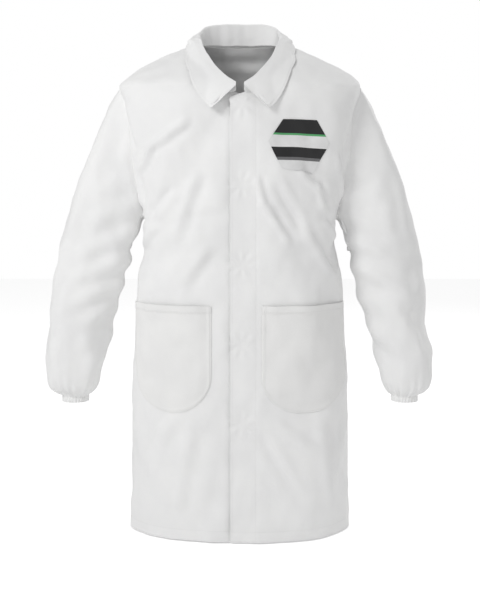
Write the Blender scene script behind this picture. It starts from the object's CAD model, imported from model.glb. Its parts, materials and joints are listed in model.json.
import json
import math

import bpy
import numpy as np
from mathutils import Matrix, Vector, noise
from mathutils.bvhtree import BVHTree

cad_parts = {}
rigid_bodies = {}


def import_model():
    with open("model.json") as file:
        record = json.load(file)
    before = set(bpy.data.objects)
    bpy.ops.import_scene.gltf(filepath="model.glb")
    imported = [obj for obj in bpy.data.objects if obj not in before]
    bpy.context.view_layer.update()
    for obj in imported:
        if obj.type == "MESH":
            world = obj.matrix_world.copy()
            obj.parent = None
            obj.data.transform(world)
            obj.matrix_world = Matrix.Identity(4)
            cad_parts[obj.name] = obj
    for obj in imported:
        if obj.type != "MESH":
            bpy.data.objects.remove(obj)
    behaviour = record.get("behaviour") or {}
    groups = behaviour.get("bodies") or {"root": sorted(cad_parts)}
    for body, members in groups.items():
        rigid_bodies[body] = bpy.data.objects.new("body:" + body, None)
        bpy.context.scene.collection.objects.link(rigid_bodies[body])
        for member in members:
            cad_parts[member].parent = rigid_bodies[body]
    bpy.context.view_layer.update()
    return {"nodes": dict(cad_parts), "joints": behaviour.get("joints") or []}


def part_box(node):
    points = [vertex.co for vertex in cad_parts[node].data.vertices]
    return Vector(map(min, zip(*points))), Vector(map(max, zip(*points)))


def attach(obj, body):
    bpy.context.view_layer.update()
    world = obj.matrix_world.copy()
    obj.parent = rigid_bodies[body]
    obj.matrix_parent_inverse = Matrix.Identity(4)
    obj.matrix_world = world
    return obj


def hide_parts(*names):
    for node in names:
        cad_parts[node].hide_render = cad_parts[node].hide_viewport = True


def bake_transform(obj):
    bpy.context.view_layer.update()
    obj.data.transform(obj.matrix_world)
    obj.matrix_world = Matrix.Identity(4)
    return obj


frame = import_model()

noise.seed_set(11)                # noise vectors are otherwise offset by the clock
JOINTS = {joint["name"]: joint for joint in frame["joints"]}
SIGN = {"left": 1, "right": -1}
BACK_COLUMN = {"left": 0, "right": -1}    # the back's column along each side seam


def middle_x(node):
    """Middle of a CAD node from side to side."""
    low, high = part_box(node)
    return (low.x + high.x) / 2


# ------------------------------------------------------------------ driving values, metres
THICKNESS = 0.0006
COLLAR_THICKNESS = 0.0009
SHOULDER_TIP_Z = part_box("left_sleeve_upper")[1].z
UNDERARM_Z = SHOULDER_TIP_Z * 0.7057
SPLIT_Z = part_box("left_front_skirt")[1].z
TOP_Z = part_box("left_front_bodice")[1].z - 0.0012
CUFF_TOP_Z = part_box("left_cuff_hem")[1].z
CUFF_X = middle_x("left_cuff_hem")
ELBOW_DEPTH = 0.059               # half depth of the sleeve at the elbow
OVAL = 2.2                        # squareness of the sleeve's sections
SEAM_SIDESTEP = 0.006             # sections are read this far beside the underarm seam
PLACKET_X = {"left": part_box("left_placket_facing_upper")[1].x, "right": -0.021}
EDGE_X = {"left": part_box("left_front_skirt")[0].x, "right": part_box("right_front_skirt")[1].x}
EDGE_SEAM = 0.0035                # from a front edge or a pocket's edge to its stitching
FRONT_SEAM_ENDS = (0.002, 0.83)   # levels between which the fronts are stitched
FACING_WIDTH = 0.046
FACING_TOP_Z = 0.845
HEM_HEIGHT = 0.02
HEM_EASE = 0.06                   # above the level hem, cloth comes free over this height
POCKET_CORNER = 0.074
POCKET_MOUTH = 0.013              # depth of the folded band at the mouth
POCKET_SEAM = 0.011               # from the mouth down to its stitching
LAPPED_HOLD = (0.75, 0.55, 0.4, 0.25, 0.15)    # of the columns next to the front edge

SNAP_COUNT = 5
SNAP_X = middle_x("upper_snap_studs")
SNAP_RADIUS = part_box("upper_snap_studs")[1].x - SNAP_X
SNAP_TOP_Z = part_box("upper_snap_studs")[1].z - SNAP_RADIUS
SNAP_LOW_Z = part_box("lower_snap_studs")[0].z + SNAP_RADIUS
SNAP_PITCH = (SNAP_TOP_Z - SNAP_LOW_Z) / (SNAP_COUNT - 1)
SNAP_LEVELS = [SNAP_TOP_Z - SNAP_PITCH * i for i in range(SNAP_COUNT)]

LOW_ROWS, ARM_ROWS, SHOULDER_ROWS = 50, 22, 12
FRONT_COLUMNS, BACK_COLUMNS = 26, 46
UPPER_STATIONS, LOWER_STATIONS = 24, 24
REFINE = 3                        # fine steps in each step of the simulated grids

SIM_FRAMES = 24
CLOTH_GROWTH = 0.016
SMOOTHING_ROUNDS = 5
LARGEST_MOVE = 0.016              # of any point while it settles
LAP_WIDTH = 0.045                 # the snapped fronts keep their spacing over this width
LAP_HOLD = 0.85
ANCHOR_COLUMNS = 12               # the side seams are put right over this many columns
FOLD_STRENGTH = 1.35

NECK_LOW_Z, NECK_HALF_WIDTH = 0.90, 0.125    # the cloth held round the neck
NECK_Y = -0.02                    # upright axis about which the collar is swept
COLLAR_LEVELS = np.arange(0.800, 1.010, 0.001)
COLLAR_FRONT = math.radians(4)    # azimuth of the collar's front ends
COLLAR_SPLIT = math.radians(97)   # azimuth at which a lifting corner meets the back
COLLAR_COLUMNS, STAND_ROWS, LEAF_ROWS = 177, 14, 18
LAID_SHARE = 0.7                  # of the leaf lies down on the shoulder
LAID_CLEARANCE = 0.0028

AMBIENT = 0.50
FLOOR_GLOW = 0.46                 # seen by the camera only: the floor meets the white backdrop


# ------------------------------------------------------------------ reading shapes off the frame
def tree(*nodes):
    """Search tree over the surfaces of some CAD nodes."""
    points, faces = [], []
    for node in nodes:
        mesh = frame["nodes"][node].data
        base = len(points)
        points += [v.co.copy() for v in mesh.vertices]
        faces += [[base + i for i in p.vertices] for p in mesh.polygons]
    return BVHTree.FromPolygons(points, faces)


def lengths_along(points):
    """Length of a path up to each of its points."""
    return np.r_[0, np.cumsum(np.linalg.norm(np.diff(points, axis=0), axis=1))]


def read_off(at, steps, values):
    """Rows of an array, interpolated at some places along its steps."""
    return np.stack([np.interp(at, steps, column) for column in values.T], axis=1)


def evenly(points, count):
    """A path's points, spaced evenly."""
    steps = lengths_along(points)
    return read_off(np.linspace(0, steps[-1], count), steps, points)


def reach(surface, origin, direction, limit=0.6):
    """First point of a surface along a ray, or None."""
    return surface.ray_cast(Vector(origin), Vector(direction).normalized(), limit)[0]


def around(surface, degrees, z):
    """Point of a surface at an angle about the vertical axis, seen from inside."""
    angle = math.radians(degrees)
    return reach(surface, (0, 0, z), (math.cos(angle), math.sin(angle), 0))


def edge_angle(surface, z, inside, outside):
    """Angle at which a panel ends, between one that hits it and one that misses it."""
    for _ in range(12):
        middle = (inside + outside) / 2
        if around(surface, middle, z) is None:
            outside = middle
        else:
            inside = middle
    return inside


def panel_row(surface, z, low, high, columns):
    """Evenly spaced points across a panel at one level."""
    if abs(z - SPLIT_Z - 0.0005) < 0.0012:
        z = SPLIT_Z - 0.001
    hits = [a for a in np.arange(low, high, 0.5) if around(surface, a, z) is not None]
    start = edge_angle(surface, z, hits[0], hits[0] - 0.6)
    end = edge_angle(surface, z, hits[-1], hits[-1] + 0.6)
    dense = [around(surface, a, z) for a in np.linspace(start, end, 90)]
    return evenly(np.array([p for p in dense if p is not None]), columns)


def row_levels():
    """Heights of the body's rows: even below the arms, bunched a little at the armhole's ends."""
    low = np.linspace(0.001, UNDERARM_Z, LOW_ROWS)
    t = np.linspace(0, 1, ARM_ROWS + 1)[1:]
    eased = 0.45 * t + 0.55 * (1 - np.cos(np.pi * t)) / 2
    arm = UNDERARM_Z + (SHOULDER_TIP_Z - UNDERARM_Z) * eased
    shoulder = np.linspace(SHOULDER_TIP_Z, TOP_Z, SHOULDER_ROWS + 1)[1:]
    return np.r_[low, arm, shoulder]


LEVELS = row_levels()
UNDERARM_ROW = LOW_ROWS - 1
TIP_ROW = UNDERARM_ROW + ARM_ROWS


def body_grids():
    """Left front, back and right front as grids whose side and shoulder seams coincide."""
    left = tree("left_front_bodice", "left_front_skirt")
    right = tree("right_front_bodice", "right_front_skirt")
    back = tree("back_panel")
    grids = {"left": [], "right": [], "back": []}
    for z in LEVELS:
        grids["left"].append(panel_row(left, z, -101, 1, FRONT_COLUMNS))
        grids["right"].append(panel_row(right, z, -181, -77, FRONT_COLUMNS)[::-1])
        grids["back"].append(panel_row(back, z, -1, 181, BACK_COLUMNS))
    grids = {name: np.array(rows) for name, rows in grids.items()}
    for row in range(len(LEVELS)):
        if row <= UNDERARM_ROW or row >= TIP_ROW:
            for front, column in BACK_COLUMN.items():
                seam = (grids[front][row, -1] + grids["back"][row, column]) / 2
                grids[front][row, -1] = seam
                grids["back"][row, column] = seam
    return grids


def sleeve_rings(grids, side):
    """Rings of one sleeve, from the armhole seam to the top of the cuff."""
    sign = SIGN[side]
    front = grids[side][UNDERARM_ROW:TIP_ROW + 1, -1]
    rear = grids["back"][UNDERARM_ROW:TIP_ROW + 1, BACK_COLUMN[side]]
    ring = np.vstack([front, rear[-2:0:-1]])
    count = len(ring)
    low, high = ring[0], ring[ARM_ROWS]
    tube = tree(f"{side}_sleeve_upper", f"{side}_sleeve_lower")
    elbow = np.array(JOINTS[f"{side}_elbow_bend"]["pos_m"], float)
    bend_axis = np.array(JOINTS[f"{side}_elbow_bend"]["axis"], float)
    across = bend_axis * (1 if bend_axis[0] * sign > 0 else -1)

    along = (high - low) / np.linalg.norm(high - low)
    system = np.array([[along[0], -across[0]], [along[2], -across[2]]])
    step = np.linalg.solve(system, np.array([elbow[0] - low[0], elbow[2] - low[2]]))[0]
    pivot = low + along * step
    start_angle = math.atan2(along[2], abs(along[0]))
    end_angle = math.atan2(across[2], abs(across[0]))

    def section(guess, direction):
        """Inner and outer point of the tube, found a little beside its seam."""
        beside = np.array(guess) + (0, SEAM_SIDESTEP, 0)
        ends = [reach(tube, beside, Vector(direction) * way) for way in (-1, 1)]
        return [None if p is None else Vector((p.x, 0, p.z)) for p in ends]

    centre0 = (low + high) / 2
    angles0 = np.arctan2(ring[:, 1] / np.abs(ring[:, 1]).max(),
                         (ring - centre0) @ along / (np.linalg.norm(high - low) / 2))
    angles0 = np.unwrap(np.where(np.arange(count) == 0, -math.pi, angles0))
    even = np.linspace(-math.pi, math.pi, count, endpoint=False)
    depth0 = np.abs(ring[:, 1]).max()

    inners, outers = [low], [high]
    for k in range(1, UPPER_STATIONS + 1):
        t = k / UPPER_STATIONS
        angle = start_angle + (end_angle - start_angle) * t
        direction = np.array([sign * math.cos(angle), 0, math.sin(angle)])
        distance = np.linalg.norm(centre0 - pivot) * (1 - t) + np.linalg.norm(elbow - pivot) * t
        distance -= 0.04 * math.sin(math.pi * t)
        inner, outer = section(pivot + direction * distance, direction)
        inners.append(inner)
        outers.append(outer)
    cuff = np.array([sign * CUFF_X, 0, CUFF_TOP_Z + 0.0015])
    for k in range(1, LOWER_STATIONS + 1):
        t = k / LOWER_STATIONS
        angle = end_angle * (1 - t)
        direction = np.array([sign * math.cos(angle), 0, math.sin(angle)])
        inner, outer = section(elbow + (cuff - elbow) * t, direction)
        inners.append(inner)
        outers.append(outer)
    inners, outers = filled(inners), filled(outers)

    rings = [ring]
    for k in range(1, UPPER_STATIONS + LOWER_STATIONS + 1):
        t = k / UPPER_STATIONS
        if k <= UPPER_STATIONS:
            ease = t * t * (3 - 2 * t)
            depth = depth0 + (ELBOW_DEPTH - depth0) * min(1, 2.2 * t) ** 0.8
        else:
            ease = 1
            behind = reach(tube, (inners[k] + outers[k]) / 2, (0, 1, 0))
            depth = abs(behind[1]) if behind else depth
        rings.append(ring_points(inners[k], outers[k], depth, angles0 + (even - angles0) * ease))
    return np.array(rings)


def filled(points):
    """A run of points in which the missing ones are interpolated from their neighbours."""
    known = [k for k, p in enumerate(points) if p is not None]
    return read_off(np.arange(len(points)), known, np.array([points[k] for k in known], float))


def ring_points(inner, outer, depth, angles):
    """Oval ring between an inner and an outer point of the frontal plane."""
    centre, half = (inner + outer) / 2, (outer - inner) / 2
    c, s = np.cos(angles), np.sin(angles)
    radius = (np.abs(c) ** OVAL + np.abs(s) ** OVAL) ** (-1 / OVAL)
    return centre + np.outer(radius * c, half) + np.outer(radius * s, (0, depth, 0))


GRIDS = body_grids()
RINGS = {side: sleeve_rings(GRIDS, side) for side in SIGN}


# ------------------------------------------------------------------ one welded sheet for the simulation
def grid_faces(rows, columns, closed=False):
    """Quads between the points of a grid, numbered row by row."""
    faces = []
    for r in range(rows - 1):
        for c in range(columns if closed else columns - 1):
            d = (c + 1) % columns
            faces.append([r * columns + c, r * columns + d, (r + 1) * columns + d, (r + 1) * columns + c])
    return faces


class Sheet:
    """All panels as one mesh: the panels share their vertices along the seams."""

    def __init__(self):
        self.points = []
        self.faces = []
        self.ids = {}

    def add(self, name, grid, shared=None):
        """Add a grid; shared holds the ids of points that another panel already has, or -1."""
        rows, columns = grid.shape[:2]
        ids = np.full((rows, columns), -1) if shared is None else shared.copy()
        for r in range(rows):
            for c in range(columns):
                if ids[r, c] < 0:
                    ids[r, c] = len(self.points)
                    self.points.append(grid[r, c])
        self.ids[name] = ids
        return ids

    def quads(self, ids, closed=False, flip=False):
        """Add the faces between the points of a panel."""
        for quad in grid_faces(*ids.shape, closed):
            quad = [ids.flat[i] for i in quad]
            self.faces.append(quad[::-1] if flip else quad)


def weld():
    """The sheet of all five panels."""
    sheet = Sheet()
    back = sheet.add("back", GRIDS["back"])
    sheet.quads(back)
    for side, column in BACK_COLUMN.items():
        shared = np.full(GRIDS[side].shape[:2], -1)
        for row in range(len(LEVELS)):
            if row <= UNDERARM_ROW or row >= TIP_ROW:
                shared[row, -1] = back[row, column]
        front = sheet.add(side, GRIDS[side], shared)
        sheet.quads(front, flip=side == "right")
        rings = RINGS[side]
        ring_shared = np.full(rings.shape[:2], -1)
        up = front[UNDERARM_ROW:TIP_ROW + 1, -1]
        down = back[UNDERARM_ROW:TIP_ROW + 1, column][-2:0:-1]
        ring_shared[0] = np.r_[up, down]
        sleeve = sheet.add(side + "_sleeve", rings, ring_shared)
        sheet.quads(sleeve, closed=True, flip=side == "right")
    return sheet


SHEET = weld()
REST = np.array(SHEET.points)


def hold_weights():
    """How firmly each point keeps its place: the neck, the lapped front and the cuffs are held."""
    weight = np.full(len(REST), 0.045)
    for side in SIGN:
        ids = SHEET.ids[side]
        for row in range(ids.shape[0]):
            for column, held in enumerate(LAPPED_HOLD):
                weight[ids[row, column]] = max(weight[ids[row, column]], held)
        weight[ids[:UNDERARM_ROW - 6, -1]] = 0.5
        rings = SHEET.ids[side + "_sleeve"]
        weight[rings[-1]] = 1.0
        weight[rings[-2]] = 0.5
        weight[rings[-3]] = 0.2
    top = REST[:, 2]
    near_neck = (top > NECK_LOW_Z) & (np.abs(REST[:, 0]) < NECK_HALF_WIDTH)
    weight[near_neck] = np.maximum(weight[near_neck], 0.6)
    weight[top > TOP_Z - 0.004] = 1.0
    shoulder = (top > SHOULDER_TIP_Z) & ~near_neck
    weight[shoulder] = np.maximum(weight[shoulder], 0.15)
    weight[top < 0.03] = np.maximum(weight[top < 0.03], 0.12)
    return weight


def make_object(name, points, faces):
    """New mesh object in the scene."""
    mesh = bpy.data.meshes.new(name)
    mesh.from_pydata([tuple(map(float, p)) for p in points], [], [list(map(int, f)) for f in faces])
    mesh.validate()
    mesh.update()
    thing = bpy.data.objects.new(name, mesh)
    bpy.context.scene.collection.objects.link(thing)
    return thing


def simulate():
    """Let the slightly over-long cloth buckle and settle; returns the settled points."""
    thing = make_object("cloth_simulation", REST + crumple(REST, 0.0016, 0.05), SHEET.faces)
    group = thing.vertex_groups.new(name="hold")
    for index, value in enumerate(hold_weights()):
        group.add([index], float(value), "REPLACE")
    cloth = thing.modifiers.new("cloth", "CLOTH")
    settings = cloth.settings
    settings.quality = 6
    settings.mass = 0.02
    settings.tension_stiffness = settings.compression_stiffness = 12
    settings.shear_stiffness = 6
    settings.bending_stiffness = 0.6
    settings.tension_damping = settings.compression_damping = settings.shear_damping = 6
    settings.bending_damping = 0.6
    settings.air_damping = 2.5
    settings.vertex_group_mass = "hold"
    settings.pin_stiffness = 1.0
    settings.shrink_min = -CLOTH_GROWTH
    settings.effector_weights.gravity = 0.5
    cloth.collision_settings.use_collision = False
    cloth.point_cache.frame_start = 1
    cloth.point_cache.frame_end = SIM_FRAMES
    scene = bpy.context.scene
    scene.frame_start, scene.frame_end = 1, SIM_FRAMES
    for number in range(1, SIM_FRAMES + 1):
        scene.frame_set(number)
    depsgraph = bpy.context.evaluated_depsgraph_get()
    mesh = thing.evaluated_get(depsgraph).to_mesh()
    points = np.zeros(len(REST) * 3)
    mesh.vertices.foreach_get("co", points)
    points = points.reshape(-1, 3)
    bpy.data.objects.remove(thing)
    return points


def crumple(points, height, size):
    """Smooth noise vectors, the same at every run."""
    return np.array([noise.noise_vector(Vector(p / size)) for p in points]) * height


def smoothed(moved):
    """The settling without its finest crumple: stiff laminate only takes long soft folds."""
    faces = np.array(SHEET.faces)
    ends = np.concatenate([faces[:, [0, 1]], faces[:, [1, 2]], faces[:, [2, 3]], faces[:, [3, 0]]])
    for _ in range(SMOOTHING_ROUNDS):
        total = np.zeros_like(moved)
        count = np.zeros(len(moved))
        for a, b in ((0, 1), (1, 0)):
            np.add.at(total, ends[:, a], moved[ends[:, b]])
            np.add.at(count, ends[:, a], 1)
        moved = (moved + total / count[:, None]) / 2
    return moved


def settled_points():
    """The coat's points after the cloth has settled."""
    moved = smoothed(simulate() - REST)
    length = np.linalg.norm(moved, axis=1, keepdims=True)
    return REST + moved * np.minimum(1, LARGEST_MOVE / np.maximum(length, 1e-9))


SETTLED = settled_points()


# ------------------------------------------------------------------ grids as finished pieces
def grid_normals(grid, closed=False):
    """Unit normals of a grid of points."""
    if closed:
        along = np.roll(grid, -1, 1) - np.roll(grid, 1, 1)
    else:
        along = np.gradient(grid, axis=1)
    up = np.gradient(grid, axis=0)
    normal = np.cross(along, up)
    return normal / np.maximum(np.linalg.norm(normal, axis=2, keepdims=True), 1e-12)


def grid_object(name, grid, closed=False, flip=False, thickness=THICKNESS):
    """A smooth sheet of cloth with real thickness, centred on the grid."""
    faces = grid_faces(*grid.shape[:2], closed)
    if flip:
        faces = [quad[::-1] for quad in faces]
    thing = make_object(name, grid.reshape(-1, 3), faces)
    thick = thing.modifiers.new("thick", "SOLIDIFY")
    thick.thickness = thickness
    thick.offset = 0
    apply_all(thing)
    return thing


def apply_all(thing):
    """Replace a piece's mesh with its evaluated mesh, smooth shaded."""
    depsgraph = bpy.context.evaluated_depsgraph_get()
    mesh = bpy.data.meshes.new_from_object(thing.evaluated_get(depsgraph))
    thing.modifiers.clear()
    thing.data = mesh
    for polygon in mesh.polygons:
        polygon.use_smooth = True
    mesh.set_sharp_from_angle(angle=math.radians(55))


# ------------------------------------------------------------------ materials
class Finish:
    """Material whose textures lie in object space and feed one shader."""

    def __init__(self, name):
        self.material = bpy.data.materials.new(name)
        self.material.use_nodes = True
        self.nodes = self.material.node_tree.nodes
        self.link = self.material.node_tree.links.new
        self.shader = self.nodes["Principled BSDF"]
        self.place = self.nodes.new("ShaderNodeTexCoord")

    def node(self, kind, **values):
        """New node with some of its inputs set."""
        made = self.nodes.new("ShaderNode" + kind)
        for name, value in values.items():
            made.inputs[name.replace("_", " ")].default_value = value
        return made

    def texture(self, kind, **values):
        made = self.node("Tex" + kind, **values)
        self.link(self.place.outputs["Object"], made.inputs["Vector"])
        return made

    def colour(self, texture, low, high, span):
        """Base colour that goes from low to high over a span of the texture's values."""
        tone = self.node("ValToRGB")
        for stop, position, value in zip(tone.color_ramp.elements, span, (low, high)):
            stop.position = position
            stop.color = (*value, 1)
        self.link(texture.outputs["Fac"], tone.inputs["Fac"])
        self.link(tone.outputs["Color"], self.shader.inputs["Base Color"])

    def roughness(self, texture, low, high):
        rough = self.node("MapRange", To_Min=low, To_Max=high)
        self.link(texture.outputs["Fac"], rough.inputs["Value"])
        self.link(rough.outputs["Result"], self.shader.inputs["Roughness"])

    def relief(self, height, strength, distance):
        relief = self.node("Bump", Strength=strength, Distance=distance)
        self.link(height, relief.inputs["Height"])
        self.link(relief.outputs["Normal"], self.shader.inputs["Normal"])


def cloth_material(name, tint=(0.93, 0.93, 0.925)):
    """White non-woven laminate: bonded fibre grain, soft mottling and a faint sheen."""
    finish = Finish(name)
    finish.shader.inputs["Specular IOR Level"].default_value = 0.3
    finish.shader.inputs["Sheen Weight"].default_value = 0.12
    finish.shader.inputs["Sheen Roughness"].default_value = 0.5
    mottle = finish.texture("Noise", Scale=14, Detail=5)
    fibre = finish.texture("Noise", Scale=420, Detail=3)
    dots = finish.texture("Voronoi", Scale=650)
    shade = (tint[0] * 0.955, tint[1] * 0.955, tint[2] * 0.96)
    finish.colour(mottle, shade, tint, (0.3, 0.7))
    finish.roughness(mottle, 0.52, 0.74)
    grain = finish.node("Math")
    grain.operation = "ADD"
    finish.link(fibre.outputs["Fac"], grain.inputs[0])
    finish.link(dots.outputs["Distance"], grain.inputs[1])
    finish.relief(grain.outputs["Value"], 0.25, 0.0003)
    return finish.material


def plain_material(name, colour, roughness, sheen=0.0, grain=900, bump=0.15):
    """Solid colour with fine grain and slight wear in its gloss."""
    finish = Finish(name)
    finish.shader.inputs["Sheen Weight"].default_value = sheen
    speckle = finish.texture("Noise", Scale=grain, Detail=4)
    wear = finish.texture("Noise", Scale=35)
    finish.colour(wear, [c * 0.9 for c in colour], colour, (0.35, 0.65))
    finish.roughness(wear, roughness - 0.08, roughness + 0.08)
    finish.relief(speckle.outputs["Fac"], bump, 0.0002)
    return finish.material


CLOTH = cloth_material("laminate_cloth")
POCKET_CLOTH = cloth_material("pocket_cloth", tint=(0.905, 0.903, 0.893))
THREAD = plain_material("sewing_thread", (0.80, 0.80, 0.79), 0.6, 0.2, 1500)
ELASTIC = plain_material("covered_elastic", (0.86, 0.86, 0.84), 0.75, 0.3, 700, 0.4)
PLASTIC = plain_material("snap_plastic", (0.93, 0.93, 0.92), 0.32, 0.0, 300, 0.05)
LABEL_MATERIALS = [
    plain_material("patch_white", (0.86, 0.86, 0.86), 0.4),
    plain_material("patch_black", (0.012, 0.012, 0.013), 0.38),
    plain_material("patch_grey", (0.16, 0.16, 0.165), 0.4),
    plain_material("patch_green", (0.10, 0.42, 0.16), 0.4),
]


def dress(thing, material):
    """Give a piece its material and the record's slot."""
    thing.data.materials.clear()
    thing.data.materials.append(material)


# ------------------------------------------------------------------ how pieces follow the bodies
def follow_front(thing):
    """The front hangs from the torso and swings with its skirt, turning over along a slant."""
    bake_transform(thing)


def follow_shoulder(thing):
    """The upper sleeve leaves the armhole with the torso and reaches the elbow with the sleeve."""
    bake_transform(thing)


def follow_elbow(thing, side):
    """The lower sleeve leaves the elbow with the sleeve and turns to the forearm below it."""
    axis = Vector(JOINTS[f"{side}_elbow_bend"]["axis"])
    down = axis.cross(Vector((0, 1, 0)))
    down = down if down.z < 0 else -down
    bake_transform(thing)


# ------------------------------------------------------------------ panels as fine surfaces
def curve_through(points, factor, wrap):
    """Points along smooth curves through the rows of an array, factor steps per span."""
    if wrap:
        padded = np.concatenate([points[-1:], points, points[:2]])
    else:
        padded = np.concatenate([2 * points[:1] - points[1:2], points, 2 * points[-1:] - points[-2:-1]])
    spans = len(padded) - 3
    steps = []
    a, b, c, d = (padded[i:spans + i] for i in range(4))
    for u in np.arange(factor) / factor:
        bend = (2 * a - 5 * b + 4 * c - d) * u**2 + (3 * b - a - 3 * c + d) * u**3
        steps.append(0.5 * (2 * b + (c - a) * u + bend))
    fine = np.stack(steps, axis=1).reshape(-1, *points.shape[1:])
    return fine if wrap else np.concatenate([fine, points[-1:]])


def refine(grid, factor, closed=False):
    """Denser copy of a grid, smooth both ways."""
    rows = curve_through(grid, factor, False)
    return curve_through(rows.swapaxes(0, 1), factor, closed).swapaxes(0, 1)


class Panel:
    """One settled panel as a fine grid, addressed by where its points lie on the coat at rest."""

    def __init__(self, name, outward=1, closed=False):
        self.rest = refine(REST[SHEET.ids[name]], REFINE, closed)
        self.grid = refine(SETTLED[SHEET.ids[name]], REFINE, closed)
        self.closed = closed
        self.outward = outward
        if name in ("left", "right"):
            from_edge = np.abs(self.rest[..., 0] - self.rest[:, :1, 0])
            share = LAP_HOLD * np.exp(-(from_edge / LAP_WIDTH) ** 4)
            self.grid += (self.rest - self.grid) * share[..., None]

    def normals(self):
        return grid_normals(self.grid, self.closed) * self.outward

    def push(self, amount):
        """Move the surface along its normals."""
        self.grid = self.grid + self.normals() * amount[..., None]

    def spot(self, x, z, lift=0.0):
        """Point above the panel, and its normal, at a rest position."""
        row = float(np.interp(z, self.rest[:, 0, 2], np.arange(len(self.rest))))
        low = min(int(row), len(self.rest) - 2)
        point, normal = np.zeros(3), np.zeros(3)
        for r, share in ((low, 1 - (row - low)), (low + 1, row - low)):
            xs = self.rest[r, :, 0]
            order = 1 if xs[-1] > xs[0] else -1
            column = float(np.interp(x * order, xs * order, np.arange(len(xs))))
            c = min(int(column), len(xs) - 2)
            f = column - c
            point += share * ((1 - f) * self.grid[r, c] + f * self.grid[r, c + 1])
            normal += share * ((1 - f) * self.fixed_normals[r, c] + f * self.fixed_normals[r, c + 1])
        normal /= np.linalg.norm(normal)
        return point + normal * lift, normal

    def settle(self):
        """Level the hem on the floor, and keep the normals of the final shape."""
        share = np.clip(self.rest[..., 2] / HEM_EASE, 0, 1)
        self.grid[..., 2] = self.rest[..., 2] + (self.grid[..., 2] - self.rest[..., 2]) * share
        self.fixed_normals = self.normals()

    def patch(self, xs, zs, lifts):
        """Grid of points above the panel."""
        shape = xs.shape
        flat = [self.spot(x, z, h)[0] for x, z, h in zip(xs.ravel(), zs.ravel(), lifts.ravel())]
        return np.array(flat).reshape(*shape, 3)


def bump_on(values, centre, width):
    """Bell curve of height 1."""
    return np.exp(-((values - centre) / width) ** 2)


def fold(panel, x0, z0, x1, z1, width, height):
    """Soft ridge between two rest points, or a valley if its height is negative."""
    x, z = panel.rest[..., 0] - x0, panel.rest[..., 2] - z0
    length = math.hypot(x1 - x0, z1 - z0)
    dx, dz = (x1 - x0) / length, (z1 - z0) / length
    along = (x * dx + z * dz) / length
    across = x * -dz + z * dx
    fade = np.clip(np.minimum(along, 1 - along) * 3 + 0.5, 0, 1)
    fade = fade * fade * (3 - 2 * fade)
    ridge = bump_on(across, 0, width) - 0.55 * bump_on(across, 1.7 * width, width)
    panel.push(FOLD_STRENGTH * height * fade * ridge)


def fine_crumple(panel, height, size, seed):
    """Small unevenness of stiff cloth that has been folded and worn."""
    points = panel.rest.reshape(-1, 3)
    values = [noise.noise(Vector((p[0] / size + seed, p[1] / size, p[2] / (size * 1.3)))) for p in points]
    panel.push(np.array(values).reshape(panel.rest.shape[:2]) * height)


# Folds: x, z of one end, x, z of the other, width and height, in metres.
LEFT_FOLDS = [
    (0.030, 0.690, 0.044, 0.640, 0.006, 0.0030),
    (0.042, 0.645, 0.090, 0.570, 0.008, 0.0038),
    (0.066, 0.675, 0.120, 0.590, 0.009, -0.0032),
    (0.113, 0.700, 0.150, 0.668, 0.008, 0.0036),
    (0.147, 0.680, 0.158, 0.632, 0.007, 0.0032),
    (0.118, 0.598, 0.180, 0.505, 0.010, 0.0040),
    (0.236, 0.835, 0.203, 0.735, 0.008, -0.0040),
    (0.185, 0.735, 0.205, 0.655, 0.007, 0.0034),
    (0.160, 0.610, 0.196, 0.575, 0.007, 0.0030),
    (0.060, 0.235, 0.150, 0.165, 0.011, 0.0028),
    (0.040, 0.200, 0.105, 0.090, 0.010, -0.0026),
    (0.150, 0.230, 0.175, 0.060, 0.014, 0.0028),
]
RIGHT_FOLDS = [
    (-0.100, 0.795, -0.166, 0.752, 0.008, 0.0042),
    (-0.166, 0.755, -0.192, 0.708, 0.007, 0.0040),
    (-0.083, 0.697, -0.122, 0.580, 0.011, 0.0036),
    (-0.128, 0.672, -0.168, 0.626, 0.009, -0.0034),
    (-0.205, 0.690, -0.196, 0.640, 0.006, 0.0034),
    (-0.160, 0.600, -0.198, 0.560, 0.008, 0.0032),
    (-0.235, 0.840, -0.207, 0.750, 0.007, -0.0036),
    (-0.060, 0.560, -0.110, 0.490, 0.012, 0.0028),
    (-0.090, 0.220, -0.120, 0.070, 0.014, 0.0030),
    (-0.150, 0.240, -0.190, 0.120, 0.012, -0.0028),
]
BACK_FOLDS = [
    (0.150, 0.860, 0.080, 0.700, 0.016, 0.0040),
    (-0.140, 0.850, -0.090, 0.690, 0.016, 0.0038),
    (0.060, 0.640, 0.090, 0.400, 0.020, 0.0045),
    (-0.050, 0.600, -0.070, 0.330, 0.022, 0.0045),
    (0.010, 0.420, 0.000, 0.080, 0.024, 0.0050),
    (0.130, 0.450, 0.150, 0.060, 0.022, 0.0048),
    (-0.130, 0.420, -0.140, 0.050, 0.022, 0.0048),
    (0.205, 0.700, 0.170, 0.610, 0.010, 0.0040),
    (-0.203, 0.700, -0.165, 0.600, 0.010, 0.0040),
    (0.090, 0.930, -0.090, 0.930, 0.010, 0.0022),
]


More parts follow.
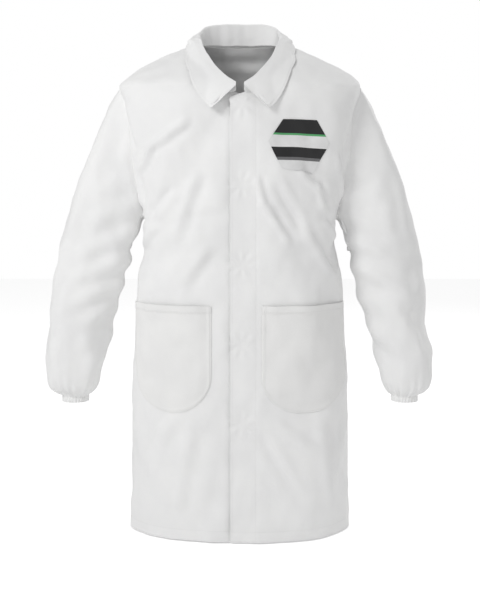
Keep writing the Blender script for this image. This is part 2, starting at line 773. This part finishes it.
def pucker(panel, side):
    """Cloth drawn together at each snap, in short creases that fan out from it."""
    x, z = panel.rest[..., 0] - SNAP_X, panel.rest[..., 2]
    front = panel.rest[..., 1] < 0
    total = np.zeros(x.shape)
    for number, level in enumerate(SNAP_LEVELS):
        away = np.hypot(x, z - level)
        angle = np.arctan2(z - level, x)
        fan = np.cos(7 * angle + number) * 0.0011 * bump_on(away, 0.017, 0.010)
        total += fan - (0.0010 if side == "left" else 0.0) * bump_on(away, 0, 0.009)
    between = np.sin((z - SNAP_LEVELS[-1]) / SNAP_PITCH * 2 * math.pi + 1.2)
    total += 0.0016 * between * bump_on(panel.rest[..., 0], EDGE_X[side], 0.022)
    wavy = np.sin(z * 46) * np.clip((0.215 - z) / 0.05, 0, 1) * 0.0022
    total += wavy * bump_on(panel.rest[..., 0], EDGE_X[side], 0.030)
    panel.push(np.where(front, total, 0))


def groove(panel, distance, depth=0.0007, width=0.0026):
    """Shallow line pressed in by stitching, where a distance field is zero."""
    panel.push(-depth * bump_on(distance, 0, width))


def cuff_gathers(panel, seed):
    """Pleats that the elastic draws into the end of the sleeve, dying out up the arm."""
    columns = panel.rest.shape[1]
    level = panel.rest[..., 2] - CUFF_TOP_Z
    turn = np.arange(columns) / columns * 2 * math.pi
    wander = np.interp(turn, np.linspace(0, 2 * math.pi, 9), np.sin(np.arange(9) * 2.3 + seed) * 0.35)
    pleats = np.cos(17 * turn + wander * 3) + 0.5 * np.cos(23 * turn + seed)
    reach_up = np.exp(-np.clip(level, 0, 1) / 0.022) * np.clip(level / 0.006, 0.25, 1)
    panel.push(0.0021 * pleats[None, :] * reach_up)


def elbow_creases(panel, side, seed):
    """Slanting creases on the inside of the arm around the elbow."""
    sign = SIGN[side]
    x, z = panel.rest[..., 0] * sign, panel.rest[..., 2]
    slant = z + 0.45 * (x - 0.30)
    wave = np.sin(slant / 0.034 * 2 * math.pi / 1.6 + seed + 2.2 * np.sin(z * 9 + seed))
    inner = np.clip((0.345 - x) / 0.07, 0, 1)
    near = bump_on(z, 0.50, 0.16)
    panel.push(0.0030 * wave * inner * near)
    long_wave = np.sin((x * 0.9 + z * 0.35) / 0.055 * 2 * math.pi + seed)
    panel.push(0.0016 * long_wave * bump_on(z, 0.66, 0.13))


def anchor_seam(panel, column, inward):
    """Bring the side seam below the waist back to its rest line, about which the front swings."""
    rows = panel.rest[:, column, 2] < SPLIT_Z + 0.06
    level = np.clip((SPLIT_Z + 0.06 - panel.rest[rows, column, 2]) / 0.05, 0, 1)[:, None]
    miss = (panel.rest[rows, column] - panel.grid[rows, column]) * level
    for step in range(ANCHOR_COLUMNS):
        share = 0.5 + 0.5 * math.cos(math.pi * step / ANCHOR_COLUMNS)
        panel.grid[rows, column + inward * step] += miss * share


def join_edges():
    """Panels share their seams again after each was pushed along its own normals."""
    back = PANELS["back"]
    anchor_seam(PANELS["left"], -1, -1)
    anchor_seam(PANELS["right"], -1, -1)
    anchor_seam(back, 0, 1)
    anchor_seam(back, -1, -1)
    for side, column in BACK_COLUMN.items():
        front, sleeve = PANELS[side], PANELS[side + "_sleeve"]
        low, high = UNDERARM_ROW * REFINE, TIP_ROW * REFINE
        rows = np.r_[0:low + 1, high:len(front.grid)]
        seam = (front.grid[rows, -1] + back.grid[rows, column]) / 2
        front.grid[rows, -1] = seam
        back.grid[rows, column] = seam
        up = front.grid[low:high + 1, -1]
        down = back.grid[low:high + 1, column][-2:0:-1]
        sleeve.grid[0] = np.concatenate([up, down])


def shape_panels():
    """All panels with their folds, puckers, gathers and pressed-in seams."""
    for side, folds in (("left", LEFT_FOLDS), ("right", RIGHT_FOLDS)):
        panel = PANELS[side]
        for values in folds:
            fold(panel, *values)
        pucker(panel, side)
        fine_crumple(panel, 0.0016, 0.024, 3.0)
        groove(panel, np.where(panel.rest[..., 1] < 0, panel.rest[..., 0] - PLACKET_X[side], 1))
        groove(panel, panel.rest[..., 2] - HEM_HEIGHT)
        sleeve = PANELS[side + "_sleeve"]
        elbow_creases(sleeve, side, 0.4 if side == "left" else 2.1)
        fine_crumple(sleeve, 0.0026, 0.028, 7.0 if side == "left" else 11.0)
        cuff_gathers(sleeve, 0.5 if side == "left" else 1.9)
    for values in BACK_FOLDS:
        fold(PANELS["back"], *values)
    fine_crumple(PANELS["back"], 0.0018, 0.026, 5.0)
    groove(PANELS["back"], PANELS["back"].rest[..., 2] - HEM_HEIGHT)
    join_edges()
    for panel in PANELS.values():
        panel.settle()


PANELS = {
    "back": Panel("back"),
    "left": Panel("left"),
    "right": Panel("right", outward=-1),
    "left_sleeve": Panel("left_sleeve", closed=True),
    "right_sleeve": Panel("right_sleeve", outward=-1, closed=True),
}
shape_panels()


# ------------------------------------------------------------------ pieces
def cloth_piece(name, grid, closed=False, flip=False, thickness=THICKNESS, material=CLOTH):
    """A sheet of cloth with its material."""
    thing = grid_object(name, grid, closed, flip, thickness)
    dress(thing, material)
    return thing


def build_body():
    """Back, fronts and sleeves."""
    back = cloth_piece("back", PANELS["back"].grid)
    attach(back, "torso")
    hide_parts("back_panel")
    for side in SIGN:
        front = cloth_piece(f"{side}_front", PANELS[side].grid, flip=side == "right")
        follow_front(front)
        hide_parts(f"{side}_front_bodice", f"{side}_front_skirt")
        rings = PANELS[side + "_sleeve"].grid
        split = UPPER_STATIONS * REFINE
        upper = cloth_piece(f"{side}_sleeve_top", rings[:split + 1], True, side == "right")
        lower = cloth_piece(f"{side}_sleeve_bottom", rings[split:], True, side == "right")
        follow_shoulder(upper)
        follow_elbow(lower, side)
        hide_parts(f"{side}_sleeve_upper")
        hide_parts(f"{side}_sleeve_lower")


def stitches(name, points, normals, length=0.0022, gap=0.0012, lift=0.0005):
    """Row of raised thread dashes along a path, as one mesh."""
    points, normals = np.array(points), np.array(normals)
    steps = lengths_along(points)
    at = np.arange(gap, steps[-1] - length, length + gap)
    starts, ends = read_off(at, steps, points), read_off(at + length, steps, points)
    vertices, faces = [], []
    for start, end, normal in zip(starts, ends, read_off(at, steps, normals)):
        normal /= np.linalg.norm(normal)
        way = (end - start) / max(np.linalg.norm(end - start), 1e-9)
        side = np.cross(way, normal) * 0.00028
        middle = (start + end) / 2 + normal * lift
        base = len(vertices)
        vertices += [start + normal * lift * 0.4, end + normal * lift * 0.4, middle + side, middle - side,
                     middle + normal * 0.00032, middle - normal * 0.00022]
        for tip, order in enumerate(((2, 4, 3, 5), (2, 5, 3, 4))):
            for a, b in zip(order, order[1:] + order[:1]):
                faces.append([base + tip, base + a, base + b])
    thing = make_object(name, vertices, faces)
    dress(thing, THREAD)
    return thing


def rib(name, points, normals, width, height):
    """Flattened cord laid along a path: the ridge of a bound seam."""
    points, normals = np.array(points), np.array(normals)
    way = np.gradient(points, axis=0)
    side = np.cross(way, normals)
    side /= np.maximum(np.linalg.norm(side, axis=1, keepdims=True), 1e-9)
    turn = np.arange(10) / 10 * 2 * math.pi
    grid = (points[:, None] + side[:, None] * (np.cos(turn) * width / 2)[None, :, None]
            + normals[:, None] * (np.sin(turn) * height)[None, :, None])
    rows, columns = grid.shape[:2]
    faces = grid_faces(rows, columns, closed=True)
    faces.append(list(range(columns))[::-1])
    faces.append([(rows - 1) * columns + c for c in range(columns)])
    thing = make_object(name, grid.reshape(-1, 3), faces)
    for polygon in thing.data.polygons:
        polygon.use_smooth = len(polygon.vertices) == 4
    dress(thing, CLOTH)
    return thing


def line_on(panel, xs, zs, lift=0.0):
    """Points and normals of a path drawn on a panel."""
    spots = [panel.spot(x, z, lift) for x, z in zip(xs, zs)]
    return [s[0] for s in spots], [s[1] for s in spots]


def pocket_shape(side):
    """Inner and outer edge, lower edge and mouth of a pocket."""
    low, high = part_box(f"{side}_pocket")
    inner, outer = (low.x, high.x) if side == "left" else (high.x, low.x)
    return inner, outer, low.z, high.z


def pocket_bottom(x, inner, outer, low):
    """Lower outline of a pocket: straight with a large rounded corner at each side."""
    near = np.minimum(np.abs(x - inner), np.abs(outer - x))
    short = np.clip(POCKET_CORNER - near, 0, POCKET_CORNER)
    return low + POCKET_CORNER - np.sqrt(POCKET_CORNER**2 - short**2)


def build_pocket(side):
    """Bag-like pocket with a rolled edge, its folded mouth and both seams."""
    panel = PANELS[side]
    inner, outer, low, high = pocket_shape(side)
    count = 61
    u = (1 - np.cos(np.linspace(0, math.pi, count))) / 2
    v = np.linspace(0, 1, count)
    x = np.tile(inner + (outer - inner) * u, (len(v), 1))
    bottom = pocket_bottom(x, inner, outer, low)
    z = bottom + (high - bottom) * v[:, None]
    edge = np.minimum(np.minimum(np.abs(x - inner), np.abs(outer - x)), z - bottom)
    full = np.clip(edge / 0.03, 0, 1)
    full = full * full * (3 - 2 * full)
    mouth = np.clip((z - high + 0.05) / 0.05, 0, 1) ** 2
    wave = np.sin(x * 90 + z * 35) * 0.0005 + np.sin(z * 70 - x * 40 + 1) * 0.0004
    lift = 0.0011 + full * (0.0022 + wave + 0.0022 * mouth)
    lift = lift + 0.0010 * bump_on(edge, 0.0045, 0.0022)
    cloth = cloth_piece(f"{side}_pocket_cloth", panel.patch(x, z, lift), flip=side == "right",
                        material=POCKET_CLOTH)
    band_z = np.linspace(high - POCKET_MOUTH, high + 0.0004, 6)

    def lift_at(level):
        """Lift of the pocket's cloth across one level."""
        return np.array([np.interp(level, z[:, c], lift[:, c]) for c in range(count)])

    bx, bz = np.meshgrid(x[0], band_z)
    band_lift = np.array([lift_at(level) for level in band_z]) + 0.0009
    band = cloth_piece(f"{side}_pocket_top", panel.patch(bx, bz, band_lift), flip=side == "right",
                       thickness=0.0009, material=POCKET_CLOTH)
    toward = 1 if outer > inner else -1
    near, far = inner + toward * EDGE_SEAM, outer - toward * EDGE_SEAM
    rim_x = np.r_[np.full(30, near), np.linspace(near, far, 120), np.full(30, far)]
    rim_low = pocket_bottom(rim_x, inner, outer, low) + EDGE_SEAM
    rim_z = np.r_[np.linspace(high - 0.002, rim_low[0], 30), rim_low[30:150],
                  np.linspace(rim_low[-1], high - 0.002, 30)]
    edge_seam = stitches(f"{side}_pocket_stitching", *line_on(panel, rim_x, rim_z, 0.0022))
    path_x = np.linspace(inner, outer, 160)
    level = high - POCKET_SEAM
    points, normals = line_on(panel, path_x, np.full(len(path_x), level))
    heights = np.interp(path_x * toward, x[0] * toward, lift_at(level)) + 0.0014
    points = [p + n * h for p, n, h in zip(points, normals, heights)]
    top_seam = stitches(f"{side}_pocket_top_stitching", points, normals)
    for thing in (cloth, band, edge_seam, top_seam):
        follow_front(thing)
    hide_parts(f"{side}_pocket")


def hexagon_span(z, corners):
    """Left and right ends of a convex outline at one level."""
    cuts = []
    for (x0, z0), (x1, z1) in zip(corners, corners[1:] + corners[:1]):
        if (z0 - z) * (z1 - z) <= 0 and abs(z1 - z0) > 1e-9:
            cuts.append(x0 + (x1 - x0) * (z - z0) / (z1 - z0))
    return min(cuts), max(cuts)


def build_label():
    """Plain six-sided patch in bands of colour."""
    low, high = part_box("chest_label")
    width, height = high.x - low.x, high.z - low.z
    shares = [(0.265, 1.0), (0.795, 0.98), (1.0, 0.57), (0.75, 0.0), (0.222, 0.07), (0.0, 0.563)]
    corners = [(low.x + width * a, low.z + height * b) for a, b in shares]
    levels = np.linspace(low.z + 0.0004, high.z - 0.0022, 54)
    spans = [hexagon_span(z, corners) for z in levels]
    x = np.array([np.linspace(a, b, 40) for a, b in spans])
    z = np.tile(levels[:, None], (1, 40))
    patch = PANELS["left"].patch(x, z, np.full(x.shape, 0.0011))
    thing = grid_object("chest_patch", patch, thickness=0.00035)
    bands = [(0.0, 0), (0.22, 2), (0.27, 1), (0.455, 0), (0.69, 3), (0.735, 1)]    # start, material
    thing.data.materials.clear()
    for material in LABEL_MATERIALS:
        thing.data.materials.append(material)
    for polygon in thing.data.polygons:
        share = (polygon.vertices[0] // x.shape[1] % x.shape[0]) / (x.shape[0] - 1)
        polygon.material_index = [i for start, i in bands if share >= start][-1]
    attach(thing, "torso")
    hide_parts("chest_label")


def build_facings():
    """Folded-back strips behind both front edges, and the turned hem."""
    for side in SIGN:
        panel = PANELS[side]
        columns = int(FACING_WIDTH / abs(panel.rest[30, 1, 0] - panel.rest[30, 0, 0])) + 1
        rows = int(np.searchsorted(panel.rest[:, 0, 2], FACING_TOP_Z))
        inside = panel.grid[:rows, :columns] - panel.fixed_normals[:rows, :columns] * 0.0013
        facing = cloth_piece(f"{side}_facing", inside, flip=side == "right")
        follow_front(facing)
        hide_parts(f"{side}_placket_facing_upper", f"{side}_placket_facing_lower")
        zs = np.linspace(*FRONT_SEAM_ENDS, 320)
        seams = (("placket", PLACKET_X[side]), ("edge", EDGE_X[side] + SIGN[side] * EDGE_SEAM))
        for kind, x in seams:
            points, normals = line_on(panel, np.full(len(zs), x), zs, 0.0002)
            follow_front(stitches(f"{side}_{kind}_stitching", points, normals))
    for name in ("left", "right", "back"):
        panel = PANELS[name]
        rows = int(np.searchsorted(panel.rest[:, 0, 2], HEM_HEIGHT)) + 1
        inside = panel.grid[:rows] - panel.fixed_normals[:rows] * 0.0010
        hem = cloth_piece(f"{name}_hem", inside, flip=name == "right")
        row = np.argmin(np.abs(panel.rest[:, 0, 2] - HEM_HEIGHT))
        points = panel.grid[row] + panel.fixed_normals[row] * 0.0002
        seam = stitches(f"{name}_hem_stitching", points, panel.fixed_normals[row])
        for thing in (hem, seam):
            if name == "back":
                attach(thing, "torso")
            else:
                follow_front(thing)


def build_seams():
    """Ridges of the side, shoulder, armhole and sleeve seams."""
    back = PANELS["back"]
    for side, column in BACK_COLUMN.items():
        front, sleeve = PANELS[side], PANELS[side + "_sleeve"]
        low, high = UNDERARM_ROW * REFINE, TIP_ROW * REFINE
        facing = front.fixed_normals[:, -1] + back.fixed_normals[:, column]
        facing /= np.linalg.norm(facing, axis=1, keepdims=True)
        side_seam = rib(f"{side}_side_seam", front.grid[1:low + 1, -1], facing[1:low + 1], 0.0032, 0.0009)
        shoulder = rib(f"{side}_shoulder_seam", front.grid[high:, -1], facing[high:], 0.0036, 0.0010)
        ring = np.concatenate([sleeve.grid[0], sleeve.grid[0][:1]])
        normals = sleeve.fixed_normals[0] + np.concatenate(
            [front.fixed_normals[low:high + 1, -1], back.fixed_normals[low:high + 1, column][-2:0:-1]])
        normals /= np.linalg.norm(normals, axis=1, keepdims=True)
        armhole = rib(f"{side}_armhole_seam", ring, np.concatenate([normals, normals[:1]]), 0.0040, 0.0013)
        for thing in (side_seam, shoulder, armhole):
            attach(thing, "torso")
        split = UPPER_STATIONS * REFINE
        line, facing = sleeve.grid[:, 0], sleeve.fixed_normals[:, 0]
        under = rib(f"{side}_underarm_seam", line[:split + 1], facing[:split + 1], 0.0030, 0.0009)
        fore = rib(f"{side}_forearm_seam", line[split:], facing[split:], 0.0030, 0.0009)
        follow_shoulder(under)
        follow_elbow(fore, side)


def build_cuff(side):
    """Gathered hem around the elastic, and the elastic itself."""
    sign = SIGN[side]
    count = 176
    turn = np.arange(count) / count * 2 * math.pi + math.pi
    low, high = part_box(f"{side}_cuff_hem")
    radius = (high.y - low.y) / 2
    centre = np.array([(low.x + high.x) / 2, 0, 0])
    ruffle = np.cos(26 * turn) + 0.45 * np.cos(41 * turn + 1.0)

    def hoop(z, r, depth):
        size = r + depth * ruffle
        ring = [sign * size * np.cos(turn), size * np.sin(turn), np.full(count, z)]
        return centre + np.stack(ring, axis=1)

    end = PANELS[side + "_sleeve"].grid[-1]
    index = np.linspace(0, len(end), count, endpoint=False)
    closed = np.concatenate([end, end[:1]])
    rows = [read_off(index, np.arange(len(closed)), closed)]
    for t in np.linspace(0.12, 1, 14):
        swell = 0.0012 * math.sin(math.pi * t) + (0.0008 if t > 0.9 else 0)
        rows.append(hoop(high.z + (low.z - high.z) * t, radius - 0.0012 + swell, 0.0009))
    hem = cloth_piece(f"{side}_cuff", np.array(rows), True, side == "right", thickness=0.0007)
    inner_low, inner_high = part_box(f"{side}_cuff_elastic")
    inner = (inner_high.y - inner_low.y) / 2 - 0.0012
    rows = [hoop(z, inner + 0.0003 * math.cos(i * 2.2), 0.0004)
            for i, z in enumerate(np.linspace(inner_low.z, inner_high.z, 12))]
    band = cloth_piece(f"{side}_elastic", np.array(rows), True, side == "right", 0.0008,
                       ELASTIC)
    for thing, node in ((hem, "cuff_hem"), (band, "cuff_elastic")):
        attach(thing, f"{side}_forearm")
        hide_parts(f"{side}_{node}")


def lathe(profile, place, normal, count=28):
    """Closed solid of revolution: profile lists (radius, height) from the axis and back to it."""
    normal = Vector(normal).normalized()
    side = normal.cross(Vector((1, 0, 0))).normalized()
    other = normal.cross(side)
    points = []
    for radius, height in profile:
        for k in range(count):
            a = 2 * math.pi * k / count
            out = side * math.cos(a) + other * math.sin(a)
            points.append(Vector(place) + normal * height + out * radius)
    faces = []
    last = len(profile)
    for r in range(last):
        s = (r + 1) % last
        for k in range(count):
            m = (k + 1) % count
            faces.append([r * count + k, r * count + m, s * count + m, s * count + k])
    return points, faces


def build_snaps():
    """Studs on the right front, sockets on the left one, and the pronged rings behind them."""
    stud = [(0.0002, -0.0001), (0.0050, -0.0001), (0.0055, 0.0002), (0.0050, 0.0006), (0.0020, 0.0007),
            (0.0016, 0.0009), (0.0018, 0.0013), (0.0014, 0.0016), (0.0002, 0.0017)]
    socket = [(0.0032, -0.0004), (0.0050, -0.0004), (0.0055, 0.0000), (0.0053, 0.0004), (0.0036, 0.0006),
              (0.0030, 0.0002)]
    ring = [(0.0020, -0.0002), (0.0050, -0.0002), (0.0052, 0.0001), (0.0020, 0.0002)]
    groups = [
        ("snap_studs", "right", stud, 0.0004, "snap_studs"),
        ("snap_stud_rings", "right", ring, -0.0022, "snap_stud_rings"),
        ("snap_sockets", "left", socket, -0.0022, "snap_sockets"),
        ("snap_socket_rings", "left", ring, -0.0006, "snap_socket_rings"),
    ]
    for name, side, profile, lift, node in groups:
        vertices, faces = [], []
        for z in SNAP_LEVELS:
            place, normal = PANELS[side].spot(SNAP_X, z, lift)
            points, quads = lathe(profile, place, normal)
            faces += [[i + len(vertices) for i in quad] for quad in quads]
            vertices += points
        thing = make_object(name, vertices, faces)
        for polygon in thing.data.polygons:
            polygon.use_smooth = True
        dress(thing, PLASTIC)
        follow_front(thing)
        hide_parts(f"upper_{node}", f"lower_{node}")


# ------------------------------------------------------------------ collar
def collar_ray(surface, phi, z, inward):
    """Point of the collar at one azimuth and level, met from outside or from the neck."""
    way = Vector((math.sin(phi), -math.cos(phi), 0))
    axis = Vector((0, NECK_Y, z))
    if inward:
        return reach(surface, axis + way * 0.4, -way, 0.4)
    return reach(surface, axis, way, 0.4)


def collar_column(surface, phi, rows, inward):
    """Points up one side of the collar at one azimuth, evenly spaced between its ends."""
    hits = [collar_ray(surface, phi, z, inward) for z in COLLAR_LEVELS]
    points = np.array([p for p in hits if p is not None])
    return evenly(points, rows) if len(points) > 2 else None


def collar_grid(surface, angles, rows, inward):
    """The collar's side as a grid, lowest row first; columns without points are interpolated."""
    columns = [collar_column(surface, phi, rows, inward) for phi in angles]
    flat = filled([None if c is None else c.ravel() for c in columns])
    return flat.reshape(len(angles), rows, 3).swapaxes(0, 1)


def smooth_columns(grid, rounds=2):
    """Even out small steps between neighbouring columns."""
    for _ in range(rounds):
        even = (grid[:, :-2] + 2 * grid[:, 1:-1] + grid[:, 2:]) / 4
        grid = np.concatenate([grid[:, :1], even, grid[:, -1:]], axis=1)
    return grid


def body_tree():
    """Search tree over the settled panels."""
    points, faces = [], []
    for name in ("left", "right", "back"):
        grid = PANELS[name].grid
        faces += [[len(points) + i for i in quad] for quad in grid_faces(*grid.shape[:2])]
        points += [tuple(p) for p in grid.reshape(-1, 3)]
    return BVHTree.FromPolygons(points, faces)


def laid_on_shoulder(grid, angles):
    """The leaf's outer edge drops onto the shoulder, as cloth would."""
    body = body_tree()
    out = grid.copy()
    for r in range(int(LAID_SHARE * len(grid))):
        low = (1 - r / (LAID_SHARE * len(grid))) ** 1.3
        for c, phi in enumerate(angles):
            near = float(bump_on(abs(abs(phi - math.pi) - math.pi / 2), 0, 0.55))
            place, _, _, distance = body.find_nearest(Vector(grid[r, c]))
            if distance > LAID_CLEARANCE:
                out[r, c] += (np.array(place) - grid[r, c]) * (1 - LAID_CLEARANCE / distance) * low * near
    return out


def away_from_neck(points):
    """Level unit vectors that point away from the neck's axis."""
    away = points - np.array([0, NECK_Y, 0])
    away[..., 2] = 0
    return away / np.linalg.norm(away, axis=-1, keepdims=True)


def build_collar():
    """The standing band, then the leaf turned down over it: two free corners and the back."""
    stand = tree("collar_stand")
    leaf = tree("collar_back_leaf", "left_collar_wing", "right_collar_wing")
    whole = np.linspace(COLLAR_FRONT, 2 * math.pi - COLLAR_FRONT, COLLAR_COLUMNS)
    stand_grid = smooth_columns(collar_grid(stand, whole, STAND_ROWS, False))
    ripple = np.sin(whole * 9) * 0.0008 + np.sin(whole * 23 + 1) * 0.0004
    stand_grid = stand_grid + away_from_neck(stand_grid) * ripple[None, :, None]
    down = stand_grid[0] - stand_grid[3]
    down /= np.linalg.norm(down, axis=1, keepdims=True)
    allowance = stand_grid[0] + down * np.array([0.012, 0.008, 0.004])[:, None, None]
    stand_grid = np.concatenate([allowance, stand_grid])
    stand_piece = cloth_piece("collar_inner_band", stand_grid, thickness=COLLAR_THICKNESS)
    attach(stand_piece, "torso")
    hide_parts("collar_stand")

    leaf_grid = smooth_columns(collar_grid(leaf, whole, LEAF_ROWS, True), 1)
    rows = np.linspace(0, 1, LEAF_ROWS)[:, None]
    wave = (np.sin(whole * 11 + 0.5) * 0.0012 + np.sin(whole * 5 + 2) * 0.0016)[None, :] * (1 - rows) ** 1.5
    leaf_grid = leaf_grid + away_from_neck(leaf_grid) * np.abs(wave)[..., None]
    leaf_grid = laid_on_shoulder(leaf_grid, whole)
    roll = roll_rows(leaf_grid[-1], stand_grid[-1])
    leaf_full = np.concatenate([leaf_grid, roll])
    cut = int(np.argmin(np.abs(whole - COLLAR_SPLIT)))
    mirror_cut = len(whole) - 1 - cut
    parts = {
        "left_collar": leaf_full[:, :cut + 1],
        "collar_back": leaf_full[:, cut:mirror_cut + 1],
        "right_collar": leaf_full[:, mirror_cut:],
    }
    for name, grid in parts.items():
        fine = refine(grid, 2)
        piece = cloth_piece(name, fine, thickness=COLLAR_THICKNESS)
        line, outward = fine[3], grid_normals(fine)[3]
        middle = len(line) // 2
        if outward[middle] @ away_from_neck(line)[middle] < 0:
            outward = -outward
        seam = stitches(f"{name}_stitching", line + outward * 0.0004, outward)
        if name == "collar_back":
            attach(piece, "torso")
            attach(seam, "torso")
            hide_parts("collar_back_leaf")
        else:
            side = name.split("_")[0]
            follow_wing(piece, side)
            follow_wing(seam, side)
            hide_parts(f"{side}_collar_wing")


def roll_rows(leaf_top, stand_top):
    """Rounded roll that carries the leaf over the top of the stand."""
    gap = np.linalg.norm(leaf_top - stand_top, axis=1)
    rows = []
    for t in np.linspace(0, 1, 6)[1:]:
        row = leaf_top + (stand_top - leaf_top) * t
        rise = np.minimum(gap * 0.45, 0.003) * math.sin(math.pi * t)
        rows.append(row + np.stack([0 * rise, 0 * rise, rise], axis=1))
    return np.array(rows)


def follow_wing(thing, side):
    """The free corner of the collar lifts; the part along the shoulder and the roll stays."""
    sign = SIGN[side]
    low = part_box(f"{side}_collar_wing")[0]
    shoulder = Vector((sign * 0.104, 0.003, 0.957))
    roll_end = Vector((sign * 0.004, low.y + 0.004, 0.862))
    tip = Vector((sign * 0.052, low.y, low.z))
    along = (shoulder - roll_end).normalized()
    way = (tip - roll_end) - along * (tip - roll_end).dot(along)
    way.normalize()
    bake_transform(thing)


build_body()
for one_side in SIGN:
    build_pocket(one_side)
    build_cuff(one_side)
build_label()
build_facings()
build_seams()
build_snaps()
build_collar()


# ------------------------------------------------------------------ stage, light and camera
def build_stage():
    """White floor and backdrop, and three lights."""
    corners = [(-6, -6, -0.002), (6, -6, -0.002), (6, 6, -0.002), (-6, 6, -0.002)]
    floor = make_object("floor", corners, [(0, 1, 2, 3)])
    material = bpy.data.materials.new("floor")
    material.use_nodes = True
    shader = material.node_tree.nodes["Principled BSDF"]
    shader.inputs["Base Color"].default_value = (0.97, 0.97, 0.97, 1)
    shader.inputs["Roughness"].default_value = 0.9
    shader.inputs["Emission Color"].default_value = (1, 1, 1, 1)
    by_camera(material.node_tree, 0.0, FLOOR_GLOW, shader.inputs["Emission Strength"])
    floor.data.materials.append(material)
    world = bpy.data.worlds.new("studio")
    world.use_nodes = True
    background = world.node_tree.nodes["Background"]
    background.inputs["Color"].default_value = (1, 1, 1, 1)
    by_camera(world.node_tree, AMBIENT, 1.0, background.inputs["Strength"])
    bpy.context.scene.world = world
    area_light("key", (-1.8, -1.9, 2.2), 1.0, 33)
    area_light("fill", (2.2, -1.8, 1.0), 2.0, 4)
    area_light("rim", (2.0, 1.8, 2.1), 0.9, 20)


def by_camera(tree, otherwise, seen, target):
    """Drive an input with one value for the camera's own rays and another for all the rest."""
    rays = tree.nodes.new("ShaderNodeLightPath")
    strength = tree.nodes.new("ShaderNodeMapRange")
    strength.inputs["To Min"].default_value = otherwise
    strength.inputs["To Max"].default_value = seen
    tree.links.new(rays.outputs["Is Camera Ray"], strength.inputs["Value"])
    tree.links.new(strength.outputs["Result"], target)


def area_light(name, place, size, power):
    """Square light aimed at the middle of the coat."""
    data = bpy.data.lights.new(name, "AREA")
    data.size = size
    data.energy = power
    light = bpy.data.objects.new(name, data)
    light.location = place
    light.rotation_euler = (Vector((0, 0, 0.55)) - Vector(place)).to_track_quat("-Z", "Y").to_euler()
    bpy.context.scene.collection.objects.link(light)


def build_camera():
    """Camera in front of the chest, tilted a little so that the coat stands in mid-frame."""
    data = bpy.data.cameras.new("camera")
    camera = bpy.data.objects.new("camera", data)
    bpy.context.scene.collection.objects.link(camera)
    distance, height, middle = 1.95, 0.65, 0.448
    picture_height = 1.2                      # metres of the object's plane that fill the frame
    shift = -0.07                             # share of the frame height; the rest of the drop is a tilt
    tilt = math.atan((height - middle + shift * picture_height) / distance)
    camera.location = (0, -distance, height)
    camera.rotation_euler = (math.radians(90) - tilt, 0, 0)
    data.sensor_width = 24
    data.lens = data.sensor_width * distance / picture_height
    data.shift_y = shift
    bpy.context.scene.camera = camera


build_stage()
build_camera()
bpy.context.scene.view_settings.view_transform = "Standard"
